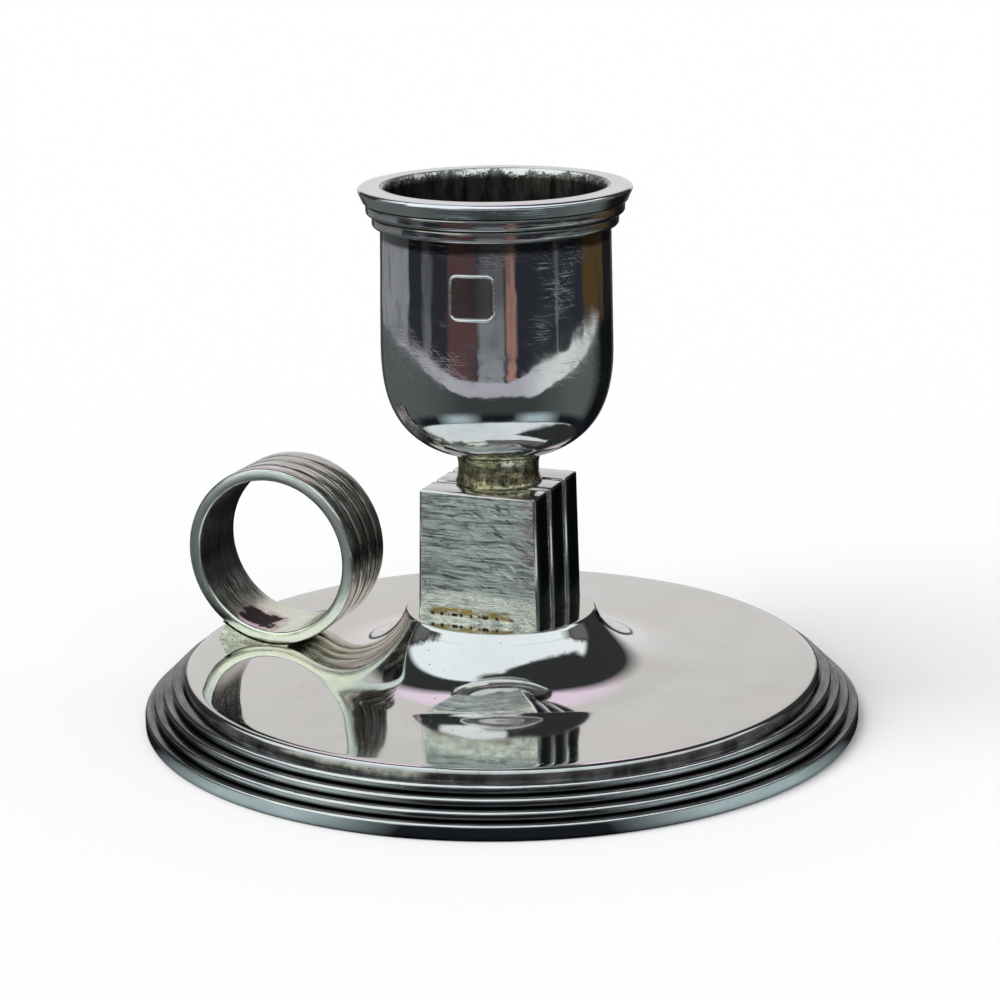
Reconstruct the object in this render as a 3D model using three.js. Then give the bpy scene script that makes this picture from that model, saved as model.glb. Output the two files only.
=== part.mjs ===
import * as THREE from "three";

// Chamber taperstick in silver. Millimetres, +Z up, origin under the middle of the foot.
// The finger ring is at -X and the front plate of the stem faces -Y.

// Fits
const solderFilm = 0.05;
const saddleClearance = 0.12;

// Foot and border
const baseRadius = 37;
const footHeight = 1.6;
const footDepth = 2.8;
const footRound = 0.6;
const borderStep = 0.95;
const borderHeight = 0.88;
const borderDepth = 2.9;
const upperWireDepth = 1;

// Sheet base and pedestal
const plateThickness = 0.9;
const plateCrown = 1.1;
const plateShoulder = 6; // the higher, the flatter the plate and the tighter its shoulder
const pedestalRise = 6.7;
const pedestalRadius = 9.75;
const pedestalSpread = 0.53;
const flareFootRadius = 19.5;
const capThickness = 1;
const capChamfer = 0.15;

// Stem
const slabHeight = 13.45;
const slabFootWidth = 13.2;
const slabTopWidth = 12.5;
const slabThickness = 3.65;
const slabGap = 0.75;
const slabChamfer = 0.5;
const neckHeight = 3;
const neckRadius = 4.05;
const neckFlare = 0.4;

// Candle socket
const boreRadius = 11;
const socketWall = 0.55;
const socketBulge = 0.2;
const socketHeight = 27.3;
const socketRoundHeight = 10.5;
const socketFloor = 1.8;
const socketSeatRadius = 6;
const lipHeight = 1.45;
const lipWidth = 2.15;
const reedHeight = 1.2;
const reedUpperWidth = 1.4;
const reedLowerWidth = 0.8;

// Finger ring and saddle
const ringInset = 3;
const ringInnerRadius = 8.25;
const ringWall = 1.35;
const ringWidth = 8.2;
const ringReeds = 4;
const reedDepth = 0.38;
const reedCrown = 0.12;
const saddleOuterReach = 6.2;
const saddleInnerReach = 2.4;
const saddleEndHeight = 2;

// Levels that follow from the sizes above
const lowerWireZ = footHeight + solderFilm;
const middleWireZ = lowerWireZ + borderHeight + solderFilm;
const plateUnderZ = middleWireZ + borderHeight + solderFilm;
const plateTopZ = plateUnderZ + plateThickness;
const pedestalZ = plateTopZ + pedestalRise;
const slabZ = pedestalZ + solderFilm;
const neckZ = slabZ + slabHeight + solderFilm;
const socketZ = neckZ + neckHeight + solderFilm;
const lipTopZ = socketZ + socketHeight;

const baseSegments = 64;
const socketSegments = 48;

const group = new THREE.Group();
group.name = "taperstick";

function point(r, z) {
  return new THREE.Vector2(r, z);
}

function arc(r, z, radius, fromDegrees, toDegrees, steps) {
  const points = [];
  for (let i = 0; i <= steps; i += 1) {
    const angle = THREE.MathUtils.degToRad(fromDegrees + ((toDegrees - fromDegrees) * i) / steps);
    points.push(point(r + radius * Math.cos(angle), z + radius * Math.sin(angle)));
  }
  return points;
}

function curve(start, startPull, endPull, end, steps) {
  return new THREE.CubicBezierCurve(start, startPull, endPull, end).getPoints(steps);
}

// Turns an outline about Z. A ring's outline is closed by repeating its first point.
function turned(outline, segments) {
  const geometry = new THREE.LatheGeometry(outline, segments);
  geometry.rotateX(Math.PI / 2);
  return geometry;
}

function ringOutline(points) {
  return [...points, points[0].clone()];
}

// Strip with a half-round outer edge
function wireOutline(innerRadius, outerRadius, z, height) {
  const nose = height / 2;
  return ringOutline([
    point(innerRadius, z),
    ...arc(outerRadius - nose, z + nose, nose, -90, 90, 6),
    point(innerRadius, z + height),
  ]);
}

function silver(color, roughness) {
  return new THREE.MeshStandardMaterial({ color, roughness, metalness: 1 });
}

function add(name, geometry, material) {
  const mesh = new THREE.Mesh(geometry, material);
  mesh.name = name;
  group.add(mesh);
  return mesh;
}

// Foot ring with a flat underside
const footInner = baseRadius - footDepth;
add("foot_ring", turned(ringOutline([
  point(footInner, 0),
  point(baseRadius - 0.25, 0),
  point(baseRadius, 0.3),
  ...arc(baseRadius - footRound, footHeight - footRound, footRound, 0, 90, 4),
  point(footInner, footHeight),
]), baseSegments), silver(0x8f928f, 0.22));

// Border wires, each one step further in and up
const lowerWireRadius = baseRadius - borderStep;
const middleWireRadius = lowerWireRadius - borderStep;
const upperWireRadius = middleWireRadius - borderStep;
add("border_wire_lower", turned(
  wireOutline(lowerWireRadius - borderDepth, lowerWireRadius, lowerWireZ, borderHeight),
  baseSegments,
), silver(0x9b9d99, 0.2));
add("border_wire_middle", turned(
  wireOutline(middleWireRadius - borderDepth, middleWireRadius, middleWireZ, borderHeight),
  baseSegments,
), silver(0x9b9d99, 0.2));
const plateRadius = upperWireRadius - upperWireDepth - solderFilm;
add("border_wire_upper", turned(
  wireOutline(plateRadius + solderFilm, upperWireRadius, plateUnderZ, borderHeight),
  baseSegments,
), silver(0xa3a5a1, 0.2));

// Sheet base: plate with a rounded shoulder and a concave flare, open at the top for the cap
function domeZ(r) {
  const share = (r - flareFootRadius) / (plateRadius - flareFootRadius);
  return plateTopZ + plateCrown * (1 - Math.abs(share) ** plateShoulder);
}
const flareTopZ = pedestalZ - capThickness - solderFilm;
const flareDrop = flareTopZ - domeZ(flareFootRadius);
const capFootRadius = pedestalRadius + pedestalSpread;
const flareTop = point(capFootRadius, flareTopZ);
const flareFoot = point(flareFootRadius, domeZ(flareFootRadius));
const flareRun = flareFootRadius - capFootRadius;
const flareTopPull = point(capFootRadius + flareRun * 0.15, flareFoot.y + flareDrop * 0.45);
const flareFootPull = point(flareFootRadius - flareRun * 0.5, flareFoot.y);
function sheetUnder(p, out) {
  return point(p.x - out, p.y - plateThickness);
}
const underShift = plateThickness * 0.75;
const underTop = point(capFootRadius - plateThickness, flareTopZ);
const underFoot = sheetUnder(flareFoot, 0);
const underTopPull = sheetUnder(flareTopPull, underShift);
const underFootPull = sheetUnder(flareFootPull, underShift * 0.5);
const seatRadius = middleWireRadius - borderDepth - 0.1;
function domePoint(share) {
  const r = flareFootRadius + (plateRadius - flareFootRadius) * share;
  return point(r, domeZ(r));
}
const domePoints = [0.96, 0.92, 0.86, 0.78, 0.68, 0.5, 0.25].map(domePoint);
const underPoints = [0.25, 0.5, 0.68].map((share) => sheetUnder(domePoint(share), 0));
add("base_dish", turned(ringOutline([
  point(plateRadius, plateUnderZ),
  point(plateRadius, plateTopZ - 0.2),
  point(plateRadius - 0.2, domeZ(plateRadius - 0.2)),
  ...domePoints,
  ...curve(flareFoot, flareFootPull, flareTopPull, flareTop, 8),
  ...curve(underTop, underTopPull, underFootPull, underFoot, 8),
  ...underPoints,
  point(seatRadius, plateUnderZ),
]), baseSegments), silver(0xc4c3bd, 0.12));

// Disc on top of the flare, its side in line with the flare
add("pedestal_cap", turned([
  point(0, pedestalZ - capThickness),
  point(capFootRadius, pedestalZ - capThickness),
  point(pedestalRadius, pedestalZ - capChamfer),
  point(pedestalRadius - capChamfer, pedestalZ),
  point(0, pedestalZ),
], baseSegments), silver(0xc8c8c1, 0.15));

// Stem: three tapered plates standing one behind the other
function slabGeometry() {
  const shape = new THREE.Shape();
  shape.moveTo(-slabFootWidth / 2, 0);
  shape.lineTo(slabFootWidth / 2, 0);
  shape.lineTo(slabTopWidth / 2, slabHeight);
  shape.lineTo(-slabTopWidth / 2, slabHeight);
  shape.closePath();
  const geometry = new THREE.ExtrudeGeometry(shape, {
    depth: slabThickness - 2 * slabChamfer,
    bevelEnabled: true,
    bevelThickness: slabChamfer,
    bevelSize: slabChamfer,
    bevelOffset: -slabChamfer,
    bevelSegments: 1,
    steps: 1,
  });
  geometry.translate(0, 0, slabChamfer - slabThickness / 2);
  geometry.rotateX(Math.PI / 2);
  geometry.translate(0, 0, slabZ);
  return geometry;
}
const slabPitch = slabThickness + slabGap;
["front_slab", "middle_slab", "rear_slab"].forEach((name, i) => {
  const geometry = slabGeometry();
  geometry.translate(0, (i - 1) * slabPitch, 0);
  add(name, geometry, silver(i === 0 ? 0x8d948f : 0x85898a, i === 0 ? 0.38 : 0.28));
});

// Neck spool
const neckEnd = neckRadius + neckFlare;
add("stem_neck", turned([
  point(0, neckZ),
  point(neckEnd, neckZ),
  ...curve(
    point(neckEnd, neckZ + 0.3),
    point(neckRadius, neckZ + neckHeight * 0.3),
    point(neckRadius, neckZ + neckHeight * 0.6),
    point(neckRadius + neckFlare * 0.3, neckZ + neckHeight),
    6,
  ),
  point(0, neckZ + neckHeight),
], 32), silver(0xa39a6f, 0.34));

// Candle socket: round-bottomed cup with a straight bore and a flat seat
const socketRadius = boreRadius + socketWall;
const bulgeRadius = socketRadius + socketBulge;
const roundTopZ = socketZ + socketRoundHeight;
const seatZ = socketZ + socketFloor;
add("socket_cup", turned([
  point(0, socketZ),
  ...curve(
    point(neckRadius, socketZ),
    point(bulgeRadius * 0.72, socketZ + socketRoundHeight * 0.08),
    point(bulgeRadius, socketZ + socketRoundHeight * 0.33),
    point(bulgeRadius, roundTopZ),
    10,
  ),
  point(socketRadius, lipTopZ - lipHeight - 2 * reedHeight - 2 * solderFilm),
  point(socketRadius, lipTopZ),
  point(boreRadius, lipTopZ),
  ...curve(
    point(boreRadius, roundTopZ),
    point(boreRadius, seatZ + (roundTopZ - seatZ) * 0.33),
    point(boreRadius * 0.81, seatZ),
    point(socketSeatRadius, seatZ),
    8,
  ),
  point(0, seatZ),
], socketSegments), silver(0x8b8d90, 0.14));

// Lip and the two reeds under it, soldered round the outside of the cup
const collarInner = socketRadius + solderFilm;
const lipRadius = socketRadius + lipWidth;
const lipZ = lipTopZ - lipHeight;
add("socket_lip", turned(ringOutline([
  point(collarInner, lipZ),
  point(lipRadius - 0.45, lipZ),
  point(lipRadius - 0.1, lipZ + 0.35),
  ...arc(lipRadius - 0.55, lipTopZ - 0.55, 0.55, 0, 90, 4),
  point(collarInner, lipTopZ),
]), socketSegments), silver(0xbab9b4, 0.2));
const reedUpperZ = lipZ - solderFilm - reedHeight;
add("socket_reed_upper", turned(
  wireOutline(collarInner, socketRadius + reedUpperWidth, reedUpperZ, reedHeight),
  socketSegments,
), silver(0x9a9b9a, 0.2));
const reedLowerZ = reedUpperZ - solderFilm - reedHeight;
add("socket_reed_lower", turned(
  wireOutline(collarInner, socketRadius + reedLowerWidth, reedLowerZ, reedHeight),
  socketSegments,
), silver(0x9a9b9a, 0.2));

// Finger ring: a strip with wide low reeds between narrow grooves, bent round, its axis along Y
const ringRadius = ringInnerRadius + ringWall;
const ringReach = baseRadius - ringInset - ringRadius;
const ringZ = domeZ(ringReach) + solderFilm + ringRadius;
const reedPitch = ringWidth / ringReeds;
const reedShares = [0.08, 0.29, 0.5, 0.71, 0.92];
const reedPoints = [];
for (let i = 0; i < ringReeds; i += 1) {
  const start = -ringWidth / 2 + i * reedPitch;
  if (i > 0) reedPoints.push(point(ringRadius - reedDepth, start));
  reedShares.forEach((share) => {
    const drop = reedCrown * (2 * share - 1) ** 2;
    reedPoints.push(point(ringRadius - drop, start + reedPitch * share));
  });
}
const ringGeometry = turned(ringOutline([
  point(ringInnerRadius, -ringWidth / 2),
  point(ringRadius - 2 * reedCrown, -ringWidth / 2),
  ...reedPoints,
  point(ringRadius - 2 * reedCrown, ringWidth / 2),
  point(ringInnerRadius, ringWidth / 2),
]), socketSegments);
ringGeometry.rotateX(Math.PI / 2);
ringGeometry.translate(-ringReach, 0, ringZ);
add("handle_ring", ringGeometry, silver(0x9c9d94, 0.22));

// Saddle wedge under the ring's outer side, hollowed to the ring's curve and bedded on the plate
const hollowRadius = ringRadius + saddleClearance;
function saddleZ(x) {
  return domeZ(ringReach - x) + solderFilm;
}
const saddleTopZ = saddleZ(-saddleOuterReach) + saddleEndHeight;
const outerAngle = Math.acos((ringZ - saddleTopZ) / hollowRadius);
const innerAngle = -Math.asin(saddleInnerReach / hollowRadius);
const saddleShape = new THREE.Shape();
saddleShape.moveTo(-saddleOuterReach, saddleZ(-saddleOuterReach));
for (let i = 1; i <= 4; i += 1) {
  const x = -saddleOuterReach + ((saddleOuterReach - saddleInnerReach) * i) / 4;
  saddleShape.lineTo(x, saddleZ(x));
}
saddleShape.lineTo(-saddleInnerReach, ringZ - hollowRadius * Math.cos(innerAngle));
saddleShape.absarc(0, ringZ, hollowRadius, innerAngle - Math.PI / 2, -outerAngle - Math.PI / 2, true);
saddleShape.lineTo(-saddleOuterReach, saddleTopZ);
saddleShape.closePath();
const saddleGeometry = new THREE.ExtrudeGeometry(saddleShape, {
  depth: ringWidth,
  bevelEnabled: false,
  curveSegments: 16,
});
saddleGeometry.rotateX(Math.PI / 2);
saddleGeometry.translate(-ringReach, ringWidth / 2, 0);
add("handle_saddle", saddleGeometry, silver(0xb9b79a, 0.26));

export default group;
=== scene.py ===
import math

import bpy
from mathutils import Matrix, Vector


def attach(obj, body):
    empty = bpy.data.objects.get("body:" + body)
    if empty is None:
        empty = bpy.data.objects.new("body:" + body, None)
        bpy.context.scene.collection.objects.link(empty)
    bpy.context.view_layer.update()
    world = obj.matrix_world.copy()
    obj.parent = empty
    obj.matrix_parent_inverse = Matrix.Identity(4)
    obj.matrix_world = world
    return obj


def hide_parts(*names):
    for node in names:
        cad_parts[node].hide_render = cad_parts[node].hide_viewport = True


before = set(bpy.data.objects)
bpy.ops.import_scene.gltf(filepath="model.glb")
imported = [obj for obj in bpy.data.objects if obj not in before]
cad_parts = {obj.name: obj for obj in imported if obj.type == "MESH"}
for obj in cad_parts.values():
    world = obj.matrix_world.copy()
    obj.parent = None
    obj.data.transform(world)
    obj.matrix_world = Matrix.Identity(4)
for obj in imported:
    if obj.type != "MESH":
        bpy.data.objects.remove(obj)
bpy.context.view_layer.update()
mm = 0.001
print("frame loaded", len(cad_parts), "nodes")


# outlines are lists of (radius, height) in millimetres
def arcPoints(r, z, radius, fromDeg, toDeg, steps):
    points = []
    for i in range(steps + 1):
        turn = math.radians(fromDeg + (toDeg - fromDeg) * i / steps)
        points.append((r + radius * math.cos(turn), z + radius * math.sin(turn)))
    return points


def curvePoints(a, b, c, d, steps):
    points = []
    for i in range(steps + 1):
        t = i / steps
        s = 1 - t
        points.append(tuple(
            s ** 3 * a[k] + 3 * s * s * t * b[k] + 3 * s * t * t * c[k] + t ** 3 * d[k] for k in (0, 1)))
    return points


def linePoints(a, b, steps):
    return [(a[0] + (b[0] - a[0]) * i / steps, a[1] + (b[1] - a[1]) * i / steps) for i in range(steps + 1)]


def deselectAll():
    if bpy.context.object and bpy.context.object.mode != "OBJECT":
        bpy.ops.object.mode_set(mode="OBJECT")
    bpy.ops.object.select_all(action="DESELECT")


# one point is drawn out along the outline, edge by edge
def traceOutline(name, places):
    deselectAll()
    bpy.ops.mesh.primitive_plane_add(size=mm, location=(0, 0, 0))
    piece = bpy.context.object
    piece.name = name
    piece.data.name = name
    bpy.ops.object.mode_set(mode="EDIT")
    bpy.ops.mesh.select_mode(type="VERT")
    bpy.ops.mesh.merge(type="CENTER")
    bpy.ops.transform.translate(value=places[0])
    for here, there in zip(places, places[1:]):
        step = there - here
        if step.length > 2e-6:
            bpy.ops.mesh.extrude_region_move(TRANSFORM_OT_translate={"value": step})
    return piece


def spinRound(piece, steps, centre=(0, 0, 0), axis=(0, 0, 1), sharp=38):
    bpy.ops.mesh.select_all(action="SELECT")
    bpy.ops.mesh.spin(steps=steps, angle=2 * math.pi, center=centre, axis=axis)
    closeMesh()
    bpy.ops.object.mode_set(mode="OBJECT")
    bpy.ops.object.shade_smooth_by_angle(angle=math.radians(sharp))
    return piece


def closeMesh():
    bpy.ops.mesh.select_all(action="SELECT")
    bpy.ops.mesh.remove_doubles(threshold=2e-6)
    bpy.ops.mesh.dissolve_degenerate(threshold=1e-7)
    bpy.ops.mesh.select_all(action="SELECT")
    bpy.ops.mesh.normals_make_consistent(inside=False)


def turnPiece(name, outline, steps, sharp=38):
    piece = traceOutline(name, [Vector((r * mm, 0, z * mm)) for r, z in outline])
    return spinRound(piece, steps, sharp=sharp)


# slow waves that a hammer and a buffing wheel leave in sheet silver
def handFinish(piece, height, spread, depth=2):
    waves = bpy.data.textures.new(piece.name + "Waves", "CLOUDS")
    waves.noise_scale = spread * mm
    waves.noise_depth = depth
    deselectAll()
    piece.select_set(True)
    bpy.context.view_layer.objects.active = piece
    push = piece.modifiers.new("waves", "DISPLACE")
    push.texture = waves
    push.texture_coords = "LOCAL"
    push.strength = height * mm
    push.mid_level = 0.5
    bpy.ops.object.modifier_apply(modifier=push.name)


def finishPiece(piece, material, node=None):
    piece.data.materials.clear()
    piece.data.materials.append(material)
    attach(piece, "root")
    if node:
        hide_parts(node)


# shader helpers work on the node tree that lies on the bench
bench = {"tree": None}


def node(kind, **values):
    made = bench["tree"].nodes.new(kind)
    for key, value in values.items():
        setattr(made, key, value)
    return made


def join(source, target):
    bench["tree"].links.new(source, target)


# every pattern reads Object coordinates in metres
def objectPlace():
    return node("ShaderNodeTexCoord").outputs["Object"]


def fillSockets(made, values):
    for slotIndex, value in enumerate(values):
        if isinstance(value, (int, float)):
            made.inputs[slotIndex].default_value = value
        else:
            join(value, made.inputs[slotIndex])
    return made.outputs[0]


def math2(action, first, second=0.0):
    return fillSockets(node("ShaderNodeMath", operation=action), (first, second))


def times(first, second):
    return math2("MULTIPLY", first, second)


def plus(first, second):
    return math2("ADD", first, second)


def minus(first, second):
    return math2("SUBTRACT", first, second)


def more(value, mask, share):
    return plus(value, times(mask, share))


def hypotenuse(first, second):
    return math2("SQRT", plus(times(first, first), times(second, second)))


def splitPlace(place):
    parts = node("ShaderNodeSeparateXYZ")
    join(place, parts.inputs[0])
    return parts.outputs[0], parts.outputs[1], parts.outputs[2]


def packPlace(x, y, z):
    return fillSockets(node("ShaderNodeCombineXYZ"), (x, y, z))


# (length along the turn, radius, height) about the upright axis
def turnedPlace(radius):
    x, y, z = splitPlace(objectPlace())
    along = times(math2("ARCTAN2", y, x), radius * mm)
    out = hypotenuse(x, y)
    return along, out, z


# the same about the finger ring's axis
def ringPlace(radius):
    x, y, z = splitPlace(objectPlace())
    sideways = minus(x, ringX * mm)
    upwards = minus(z, ringZ * mm)
    along = times(math2("ARCTAN2", sideways, upwards), radius * mm)
    out = hypotenuse(sideways, upwards)
    return along, out, y, upwards, sideways


# cell sizes in millimetres along each direction
def grain(place, cells, detail=3.0, rough=0.55, shift=0.0, turn=0.0):
    mapping = node("ShaderNodeMapping")
    mapping.inputs["Scale"].default_value = tuple(1 / (cell * mm) for cell in cells)
    mapping.inputs["Location"].default_value = (shift, shift * 1.7, shift * 0.6)
    turning = node("ShaderNodeMapping")
    turning.inputs["Rotation"].default_value = (0, 0, math.radians(turn))
    join(place, turning.inputs["Vector"])
    join(turning.outputs[0], mapping.inputs["Vector"])
    noise = node("ShaderNodeTexNoise")
    noise.inputs["Scale"].default_value = 1.0
    noise.inputs["Detail"].default_value = detail
    noise.inputs["Roughness"].default_value = rough
    join(mapping.outputs[0], noise.inputs["Vector"])
    return noise.outputs[0]


def spots(place, cell, size, shift=0.0):
    mapping = node("ShaderNodeMapping")
    mapping.inputs["Scale"].default_value = (1 / (cell * mm),) * 3
    mapping.inputs["Location"].default_value = (shift, shift * 0.7, shift * 1.3)
    join(place, mapping.inputs["Vector"])
    cells = node("ShaderNodeTexVoronoi")
    cells.inputs["Scale"].default_value = 1.0
    join(mapping.outputs[0], cells.inputs["Vector"])
    return spread(cells.outputs["Distance"], size, size * 0.35)


def spread(value, low, high, lowOut=0.0, highOut=1.0, bend="LINEAR"):
    made = node("ShaderNodeMapRange", interpolation_type=bend)
    join(value, made.inputs["Value"])
    made.inputs["From Min"].default_value = low
    made.inputs["From Max"].default_value = high
    made.inputs["To Min"].default_value = lowOut
    made.inputs["To Max"].default_value = highOut
    return made.outputs[0]


# a grain cut between two levels: place, cells, levels, then what the grain takes
def patchy(place, cells, low, high, *noise):
    return spread(grain(place, cells, *noise), low, high)


# 1 between two turns or heights, with soft ends
def between(value, low, high, soft):
    rise = spread(value, low - soft, low + soft)
    return times(rise, spread(value, high - soft, high + soft, 1.0, 0.0))


def blend(share, first, second):
    made = node("ShaderNodeMix", data_type="RGBA")
    join(share, made.inputs[0])
    for slotIndex, color in ((6, first), (7, second)):
        if isinstance(color, tuple):
            made.inputs[slotIndex].default_value = (*color, 1)
        else:
            join(color, made.inputs[slotIndex])
    return made.outputs[2]


# a second colour laid over the first, as thick as the mask times its share
def coat(color, over, mask, share):
    return blend(times(mask, share), color, over)


def dent(height, depth, before=None):
    made = node("ShaderNodeBump")
    made.inputs["Strength"].default_value = 1.0
    made.inputs["Distance"].default_value = depth * mm
    join(height, made.inputs["Height"])
    if before:
        join(before, made.inputs["Normal"])
    return made.outputs[0]


# how deep a point lies in a groove or corner, by ambient occlusion; the silvers use it to paint shade into
# their colour
def corner(reach, low, high):
    made = node("ShaderNodeAmbientOcclusion", samples=6)
    made.inputs["Distance"].default_value = reach * mm
    return spread(made.outputs["AO"], low, high, 1.0, 0.0)


def startSilver(name):
    material = bpy.data.materials.new(name)
    material.use_nodes = True
    bench["tree"] = material.node_tree
    shader = bench["tree"].nodes["Principled BSDF"]
    shader.inputs["Metallic"].default_value = 1.0
    return material, shader


def endSilver(shader, color, rough, normal):
    join(color, shader.inputs["Base Color"])
    join(rough, shader.inputs["Roughness"])
    join(normal, shader.inputs["Normal"])


# polished sheet: fine wiping scratches both ways, dull clouds, a few pits, painted shade at the rim and in
# corners
def polishedSilver(name, look):
    material, shader = startSilver(name)
    place = objectPlace()
    clouds = patchy(place, (look["cloud"],) * 3, 0.4, 0.72, 4, 0.6)
    wipes = patchy(place, (9, 0.12, 9), 0.6, 0.75, 2, 0.5, 0, look["wipeTurn"])
    cross = patchy(place, (0.1, 6, 6), 0.63, 0.75, 2, 0.5, 3.1, look["wipeTurn"] + 12)
    scratches = math2("MAXIMUM", wipes, cross)
    patch = patchy(place, (7, 7, 7), 0.45, 0.62, 2, 0.5, 9.2)
    pits = times(spots(place, look["pitCell"], 0.09), patch)
    groove = corner(look["cornerReach"], 0.25, 0.8)
    tint = spread(grain(place, (17, 17, 17), 2, 0.5, 11.3), 0.4, 0.62, 0.0, look["tintShare"])
    color = coat(look["color"], look["dull"], clouds, look["dullShare"])
    color = blend(tint, color, look["tint"])
    # painted shade: the plate's steep rim edge is darkened with the groove colour, broken up by noise
    out = turnedPlace(1)[1]
    rim = spread(out, (look["rim"] - 0.3) * mm, (look["rim"] - 0.02) * mm)
    rimShadeBreakup = spread(grain(place, (3, 3, 3), 3, 0.6, 6.6), 0.36, 0.6, 0.5, 0.9)
    rim = times(rim, rimShadeBreakup)
    color = blend(rim, color, look["groove"])
    # painted shade: the groove colour laid into corners and crevices by ambient occlusion
    color = coat(color, look["groove"], groove, look["grooveShare"])
    color = blend(pits, color, (0.05, 0.045, 0.04))
    rough = more(look["rough"], clouds, look["roughMore"])
    rough = more(rough, scratches, look["scratchRough"])
    rough = more(rough, groove, 0.25)
    normal = dent(scratches, look["scratchDepth"])
    normal = dent(minus(1.0, pits), 0.03, normal)
    endSilver(shader, color, rough, normal)
    return material


# turned wires and rings: bright crowns, painted shade in the grooves and on the top faces, marks that run
# round
def wireSilver(name, look):
    material, shader = startSilver(name)
    along, out, z = turnedPlace(look["radius"])
    place = packPlace(along, out, z)
    clouds = patchy(place, (5, 1.5, 1.5), 0.42, 0.7, 4, 0.6)
    lines = patchy(place, (7, 0.08, 0.08), 0.52, 0.7, 3, 0.6, 2.3)
    knocks = patchy(place, (1.1, 0.6, 0.6), 0.7, 0.78, 2, 0.5, 5.7)
    groove = corner(look["cornerReach"], 0.3, 0.85)
    facing = splitPlace(node("ShaderNodeTexCoord").outputs["Normal"])[2]
    patchiness = spread(grain(place, (6, 0.7, 0.7), 3, 0.6, 8.4), 0.42, 0.7, 1.0, 0.7)
    # painted shade: faces that point up are darkened, in patches
    topShade = times(spread(facing, 0.8, 0.97), patchiness)
    color = coat(look["color"], look["dull"], clouds, 0.5)
    color = coat(color, look["topShade"], topShade, look["topShadeShare"])
    # painted shade in grooves and corners, from ambient occlusion
    color = coat(color, look["groove"], groove, look["grooveShare"])
    rough = more(look["rough"], clouds, 0.06)
    rough = more(rough, groove, 0.2)
    normal = dent(lines, 0.003)
    normal = dent(minus(1.0, knocks), 0.015, normal)
    endSilver(shader, color, rough, normal)
    return material


# the cup outside: wiping scratches, a blank punched panel in front, painted shade in a band under the reeds
def cupSilver(name, look):
    material, shader = startSilver(name)
    along, out, z = turnedPlace(look["radius"])
    place = packPlace(along, out, z)
    clouds = patchy(place, (4, 4, 6), 0.42, 0.7, 4, 0.62)
    around = patchy(place, (2.6, 3, 0.07), 0.56, 0.7, 3, 0.6)
    flat = packPlace(along, z, 0.0)
    slant = patchy(flat, (1.6, 0.06, 1), 0.6, 0.74, 2, 0.6, 4.4, 38)
    patchiness = patchy(place, (5, 5, 5), 0.44, 0.66, 2, 0.5, 7.7)
    scratches = times(math2("MAXIMUM", around, slant), patchiness)
    middle = math.radians(look["panelTurn"]) * look["radius"] * mm
    across = math2("ABSOLUTE", minus(along, middle))
    upwards = math2("ABSOLUTE", minus(z, look["panelZ"] * mm))
    square = (look["panelHalf"] - look["panelRound"]) * mm
    overX = math2("MAXIMUM", minus(across, square), 0.0)
    overZ = math2("MAXIMUM", minus(upwards, square), 0.0)
    past = hypotenuse(overX, overZ)
    edge = look["panelRound"]
    raised = spread(past, (edge - 0.2) * mm, edge * mm)
    panel = times(minus(1.0, raised), look["panelShare"])
    color = coat(look["color"], look["dull"], clouds, 0.45)
    color = blend(panel, color, look["panel"])
    # painted shade: a ragged dark band on the wall just under the reeds
    ragged = times(grain(place, (2.5, 2.5, 0.8), 4, 0.7, 3.6), 0.9 * mm)
    collarShade = spread(plus(z, ragged), (look["collarShadeZ"] - 0.5) * mm, look["collarShadeZ"] * mm)
    color = coat(color, look["collarShade"], collarShade, 0.85)
    rough = more(look["rough"], clouds, 0.06)
    rough = more(rough, scratches, 0.4)
    rough = more(rough, panel, 0.15)
    normal = dent(scratches, 0.0012)
    normal = dent(raised, 0.1, normal)
    endSilver(shader, color, rough, normal)
    return material


# the cup inside: soot and wax stain, scraped bright below the lip
def boreSilver(name, look):
    material, shader = startSilver(name)
    along, out, z = turnedPlace(look["radius"])
    place = packPlace(along, out, z)
    soot = patchy(place, (1.6, 3, 6), 0.36, 0.66, 4, 0.65, 1.9)
    ragged = times(grain(place, (1.2, 1, 1.6), 4, 0.75, 6.1), look["ragged"] * mm)
    scraped = spread(plus(z, ragged), look["scrapeZ"] * mm, (look["scrapeZ"] + 0.3) * mm)
    color = blend(soot, look["soot"], look["stain"])
    color = blend(scraped, color, look["scraped"])
    rough = minus(look["rough"], times(scraped, 0.12))
    normal = dent(grain(place, (0.5, 1, 2.5), 4, 0.6, 8.8), 0.08)
    flakes = times(scraped, grain(place, (0.9, 0.6, 0.5), 3, 0.6, 2.9))
    normal = dent(flakes, look["flakeDepth"], normal)
    endSilver(shader, color, rough, normal)
    return material


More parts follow.
